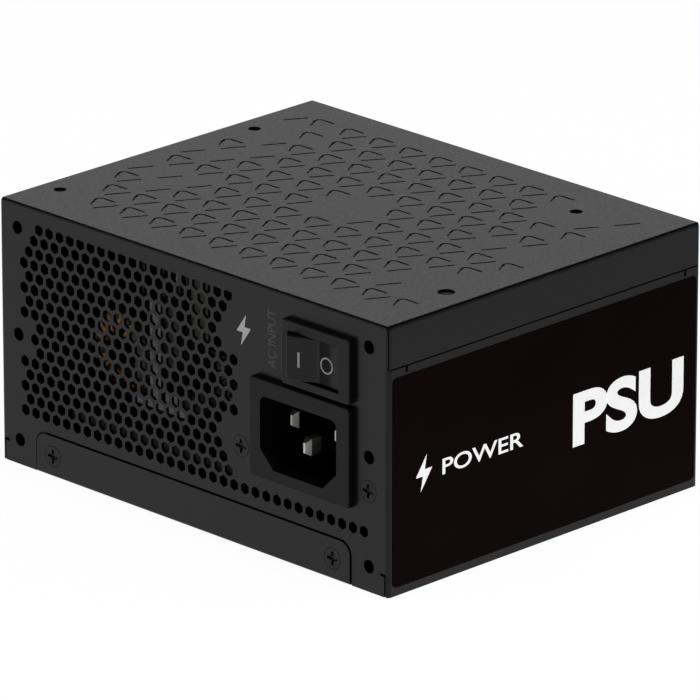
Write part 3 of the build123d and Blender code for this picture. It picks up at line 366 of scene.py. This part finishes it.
def slot_materials():
    """One material for each slot of the record."""
    grey = (0.0022, 0.0022, 0.0023)
    return {
        "case_paint": powder_coat("case_paint", grey),
        "grille_paint": powder_coat("grille_paint", (0.002, 0.002, 0.0022), 0.36),
        "black_screw": dark_screw("black_screw", (0.017, 0.017, 0.018)),
        "label_film": printed_film("label_film", (0.0052, 0.0013, 0.0017)),
        "inlet_plastic": moulded_plastic("inlet_plastic", (0.002, 0.002, 0.0021), ior=1.24),
        "switch_plastic": moulded_plastic("switch_plastic", (0.0024, 0.0024, 0.0025), ior=1.27),
        "rocker_plastic": rocker_plastic("rocker_plastic", (0.0026, 0.0026, 0.0027)),
        "nickel_contact": contact_metal("nickel_contact", (0.46, 0.45, 0.43), 0.42),
        "fan_plastic": moulded_plastic("fan_plastic", (0.010, 0.010, 0.0105), 0.4),
        "magnet_rubber": cast_solid("magnet_rubber", (0.02, 0.018, 0.018), 0.6, 2400, 0.02),
        "steel": plated_metal("steel", (0.55, 0.55, 0.56), 0.22, (1, 1, 0.06)),
        "sintered_bronze": plated_metal("sintered_bronze", (0.42, 0.26, 0.12), 0.45),
        "motor_laminations": plated_metal("motor_laminations", (0.25, 0.16, 0.10), 0.42, (0.2, 0.2, 3)),
        "board_green": circuit_board("board_green", (0.012, 0.075, 0.03)),
        "standoff_zinc": plated_metal("standoff_zinc", (0.5, 0.5, 0.49), 0.32),
        "insulation_film": cast_solid("insulation_film", (0.35, 0.34, 0.28), 0.35, 700, 0.01),
        "powder_core": cast_solid("powder_core", (0.05, 0.06, 0.045), 0.5, 1800, 0.02),
        "enamelled_copper": wound_copper("enamelled_copper", (0.26, 0.13, 0.045), dark_ends=True),
        "varnished_copper": wound_copper("varnished_copper", (0.022, 0.012, 0.006)),
        "aluminium": plated_metal("aluminium", (0.22, 0.22, 0.23), 0.42),
        "package_epoxy": cast_solid("package_epoxy", (0.014, 0.014, 0.015), 0.5, 2600, 0.01),
        "capacitor_sleeve": shrink_sleeve("capacitor_sleeve", (0.018, 0.016, 0.02)),
        "film_yellow": cast_solid("film_yellow", (0.030, 0.020, 0.005), 0.38, 1200, 0.01),
        "ceramic_blue": cast_solid("ceramic_blue", (0.03, 0.10, 0.30), 0.35, 900, 0.02),
        "fuse_glass": cast_solid("fuse_glass", (0.5, 0.48, 0.42), 0.2, 500, 0.01),
        "ferrite": cast_solid("ferrite", (0.022, 0.022, 0.024), 0.55, 2000, 0.02),
        "winding_tape": wrapped_tape("winding_tape", (0.50, 0.30, 0.04)),
        "wire_black": insulated_wire("wire_black", (0.012, 0.012, 0.013)),
        "wire_earth": insulated_wire("wire_earth", (0.05, 0.22, 0.04)),
        "bus_copper": plated_metal("bus_copper", (0.62, 0.36, 0.22), 0.3),
        "socket_plastic": moulded_plastic("socket_plastic", (0.009, 0.009, 0.0095), 0.42),
    }


def dress_nodes():
    """Gives every packed sub-part the material of its slot."""
    made = slot_materials()
    for entry in frame["record"]["subparts"]:
        mesh = NODES[entry["node"]].data
        mesh.materials.clear()
        mesh.materials.append(made[entry["material_slot"]])


dress_nodes()


# ---- printed marks -----------------------------------------------------------------
INK_LIFT = 0.02 * MM
RAY_START_Y = -0.08
SIDE_BOLT = ((-39.0, 26.8), 8.6)
SIDE_WORD = ((-33.2, 24.8), (-7.5, 28.6))
SIDE_LETTERS = ((8.5, 20.0), (44.7, 33.0))
REAR_BOLT = ((17.2, 51.5), 7.6)
REAR_WORD = ((44.8, -27.4), (58.6, -24.8))
BOLT_OUTLINE = ((0.10, 0.50), (-0.30, -0.08), (-0.04, -0.08), (-0.12, -0.50), (0.30, 0.10), (0.03, 0.10))
REAR_Y = CASE_LOW.y
RIGHT_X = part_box("right_label")[1].x
LEFT_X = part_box("left_label")[0].x
# The white ink's emission is a painted glow that lifts the print where the sides get less light.
WHITE_INK = printed_ink("white_ink", (0.96, 0.96, 0.96), painted_glow=0.28)
GREY_INK = printed_ink("grey_ink", (0.42, 0.42, 0.42))
FAINT_INK = printed_ink("faint_ink", (0.030, 0.030, 0.030))
SWITCH_INK = printed_ink("switch_ink", (0.26, 0.26, 0.26))


def on_rear(u, v):
    """Point of the AC panel, u towards +X and v up, both in millimetres."""
    return Vector((u * MM, REAR_Y - INK_LIFT, v * MM))


def up_the_rear(u, v):
    """As on_rear, for a line of text that reads upwards."""
    return Vector((-v * MM, REAR_Y - INK_LIFT, u * MM))


def on_right(u, v):
    return Vector((RIGHT_X + INK_LIFT, u * MM, v * MM))


def on_left(u, v):
    return Vector((LEFT_X - INK_LIFT, -u * MM, v * MM))


def mark_piece(name, points, faces, ink, body, slot):
    """Thin printed shape as a piece of its own."""
    mesh = bpy.data.meshes.new(name)
    mesh.from_pydata([tuple(p) for p in points], [], faces)
    mesh.materials.append(ink)
    mesh.update()
    piece = bpy.data.objects.new(name, mesh)
    bpy.context.scene.collection.objects.link(piece)
    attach(piece, body)


def letter_shapes(text, weight):
    """Vertices and faces of a line of block letters, in font units."""
    curve = bpy.data.curves.new("letters", "FONT")
    curve.body = text
    curve.offset = weight
    curve.resolution_u = 8
    holder = bpy.data.objects.new("letters", curve)
    bpy.context.scene.collection.objects.link(holder)
    bpy.context.view_layer.update()
    mesh = bpy.data.meshes.new_from_object(holder)
    points = [v.co.copy() for v in mesh.vertices]
    faces = [tuple(f.vertices) for f in mesh.polygons]
    bpy.data.objects.remove(holder)
    bpy.data.curves.remove(curve)
    bpy.data.meshes.remove(mesh)
    return points, faces


def print_text(name, text, low, high, place, ink, slot, weight):
    """Generic lettering stretched to fill a box from low to high on a face."""
    points, faces = letter_shapes(text, weight)
    x0, x1 = min(p.x for p in points), max(p.x for p in points)
    y0, y1 = min(p.y for p in points), max(p.y for p in points)
    spots = []
    for p in points:
        u = low[0] + (high[0] - low[0]) * (p.x - x0) / (x1 - x0)
        v = low[1] + (high[1] - low[1]) * (p.y - y0) / (y1 - y0)
        spots.append(place(u, v))
    mark_piece(name, spots, faces, ink, "case", slot)


def print_bolt(name, centre, height, place, ink, slot):
    """Plain lightning bolt, the usual sign for electric power."""
    spots = [place(centre[0] + x * height, centre[1] + y * height) for x, y in BOLT_OUTLINE]
    faces = [(0, 1, 2, 5), (2, 3, 4, 5)]
    mark_piece(name, spots, faces, ink, "case", slot)


def print_side(side, place):
    """White print of one side label: bolt, small word and large word."""
    label = side + "_label_"
    print_bolt(label + "bolt", *SIDE_BOLT, place, WHITE_INK, "label_film")
    print_text(label + "word", "POWER", *SIDE_WORD, place, WHITE_INK, "label_film", 0.012)
    print_text(label + "letters", "PSU", *SIDE_LETTERS, place, WHITE_INK, "label_film", 0.035)


print_side("right", on_right)
print_side("left", on_left)
print_bolt("rear_bolt", *REAR_BOLT, on_rear, GREY_INK, "case_paint")
print_text("rear_word", "AC INPUT", *REAR_WORD, up_the_rear, FAINT_INK, "case_paint", 0.01)


def rocker_mark(name, spots, faces):
    """Mark laid on the rocker's face as it stands at rest."""
    rocker = NODES["switch_rocker"]
    tree = BVHTree.FromObject(rocker, bpy.context.evaluated_depsgraph_get())
    laid = []
    for x, z in spots:
        start = Vector((x * MM, RAY_START_Y, z * MM))
        place, normal, _, _ = tree.ray_cast(start, Vector((0, 1, 0)))
        laid.append(place + normal * INK_LIFT)
    mark_piece(name, laid, faces, SWITCH_INK, "rocker", "rocker_plastic")


def rocker_marks():
    """Upright bar on the raised half and ring on the pressed half."""
    steps = 6
    bar_x, bar_z, bar_w, bar_h = 36.9, 50.1, 0.5, 3.6
    spots = []
    for n in range(steps + 1):
        z = bar_z + bar_h * (n / steps - 0.5)
        spots += [(bar_x + side * bar_w / 2, z) for side in (-1, 1)]
    faces = [(2 * n, 2 * n + 1, 2 * n + 3, 2 * n + 2) for n in range(steps)]
    rocker_mark("on_mark", spots, faces)
    turns = 48
    ring_x, ring_z, outer, inner = 44.05, 50.1, 1.95, 1.58
    spots = []
    for n in range(turns):
        angle = 2 * math.pi * n / turns
        spots += [(ring_x + r * math.cos(angle), ring_z + r * math.sin(angle)) for r in (inner, outer)]
    faces = []
    for n in range(turns):
        a, b = 2 * n, 2 * ((n + 1) % turns)
        faces.append((a, a + 1, b + 1, b))
    rocker_mark("off_mark", spots, faces)


rocker_marks()


# ---- floor and light ---------------------------------------------------------------
def plain_floor():
    """Pale sheet that the unit stands on, lit from below and dimmer to the right."""
    material = bpy.data.materials.new("studio_floor")
    material.use_nodes = True
    nodes = material.node_tree.nodes
    links = material.node_tree.links
    nodes.clear()
    output = nodes.new("ShaderNodeOutputMaterial")
    diffuse = nodes.new("ShaderNodeBsdfDiffuse")
    diffuse.inputs["Color"].default_value = (FLOOR_TONE, FLOOR_TONE, FLOOR_TONE, 1)
    glow = nodes.new("ShaderNodeEmission")
    glow.inputs["Color"].default_value = (1, 1, 1, 1)
    across = nodes.new("ShaderNodeVectorMath")
    across.operation = "DOT_PRODUCT"
    across.inputs[1].default_value = TO_THE_RIGHT
    fade = nodes.new("ShaderNodeMapRange")
    set_range(fade, *FLOOR_FADE, FLOOR_GLOW, FLOOR_GLOW_RIGHT)
    links.new(nodes.new("ShaderNodeTexCoord").outputs["Object"], across.inputs[0])
    links.new(across.outputs["Value"], fade.inputs["Value"])
    links.new(fade.outputs["Result"], glow.inputs["Strength"])
    total = nodes.new("ShaderNodeAddShader")
    links.new(diffuse.outputs[0], total.inputs[0])
    links.new(glow.outputs[0], total.inputs[1])
    links.new(total.outputs[0], output.inputs["Surface"])
    mesh = bpy.data.meshes.new("floor")
    far = FLOOR_HALF
    z = CASE_LOW.z - FLOOR_GAP
    corners = [(-far, -far, z), (far, -far, z), (far, far, z), (-far, far, z)]
    mesh.from_pydata(corners, [], [(0, 1, 2, 3)])
    mesh.materials.append(material)
    floor = bpy.data.objects.new("floor", mesh)
    bpy.context.scene.collection.objects.link(floor)


def studio_world():
    """Lit band of wall round the table, dimmer near the floor, and a dark ceiling."""
    world = bpy.data.worlds.new("studio")
    bpy.context.scene.world = world
    world.use_nodes = True
    nodes = world.node_tree.nodes
    links = world.node_tree.links
    place = nodes.new("ShaderNodeTexCoord")
    split = nodes.new("ShaderNodeSeparateXYZ")
    ramp = nodes.new("ShaderNodeValToRGB")
    links.new(place.outputs["Generated"], split.inputs[0])
    links.new(split.outputs["Z"], ramp.inputs["Fac"])
    set_stops(ramp, WALL_BANDS)
    background = nodes["Background"]
    links.new(ramp.outputs["Color"], background.inputs["Color"])
    background.inputs["Strength"].default_value = 1.0


def area_light(name, place, target, size, power):
    data = bpy.data.lights.new(name, "AREA")
    data.shape = "SQUARE"
    data.size = size
    data.energy = power
    light = bpy.data.objects.new(name, data)
    bpy.context.scene.collection.objects.link(light)
    light.location = place
    aim = Vector(target) - Vector(place)
    light.rotation_mode = "QUATERNION"
    light.rotation_quaternion = aim.to_track_quat("-Z", "Y")


plain_floor()
studio_world()
area_light("soft_top", LAMP_PLACE, (0, 0, 0), LAMP_SIZE, LAMP_WATTS)
bpy.context.scene.view_settings.view_transform = "Standard"
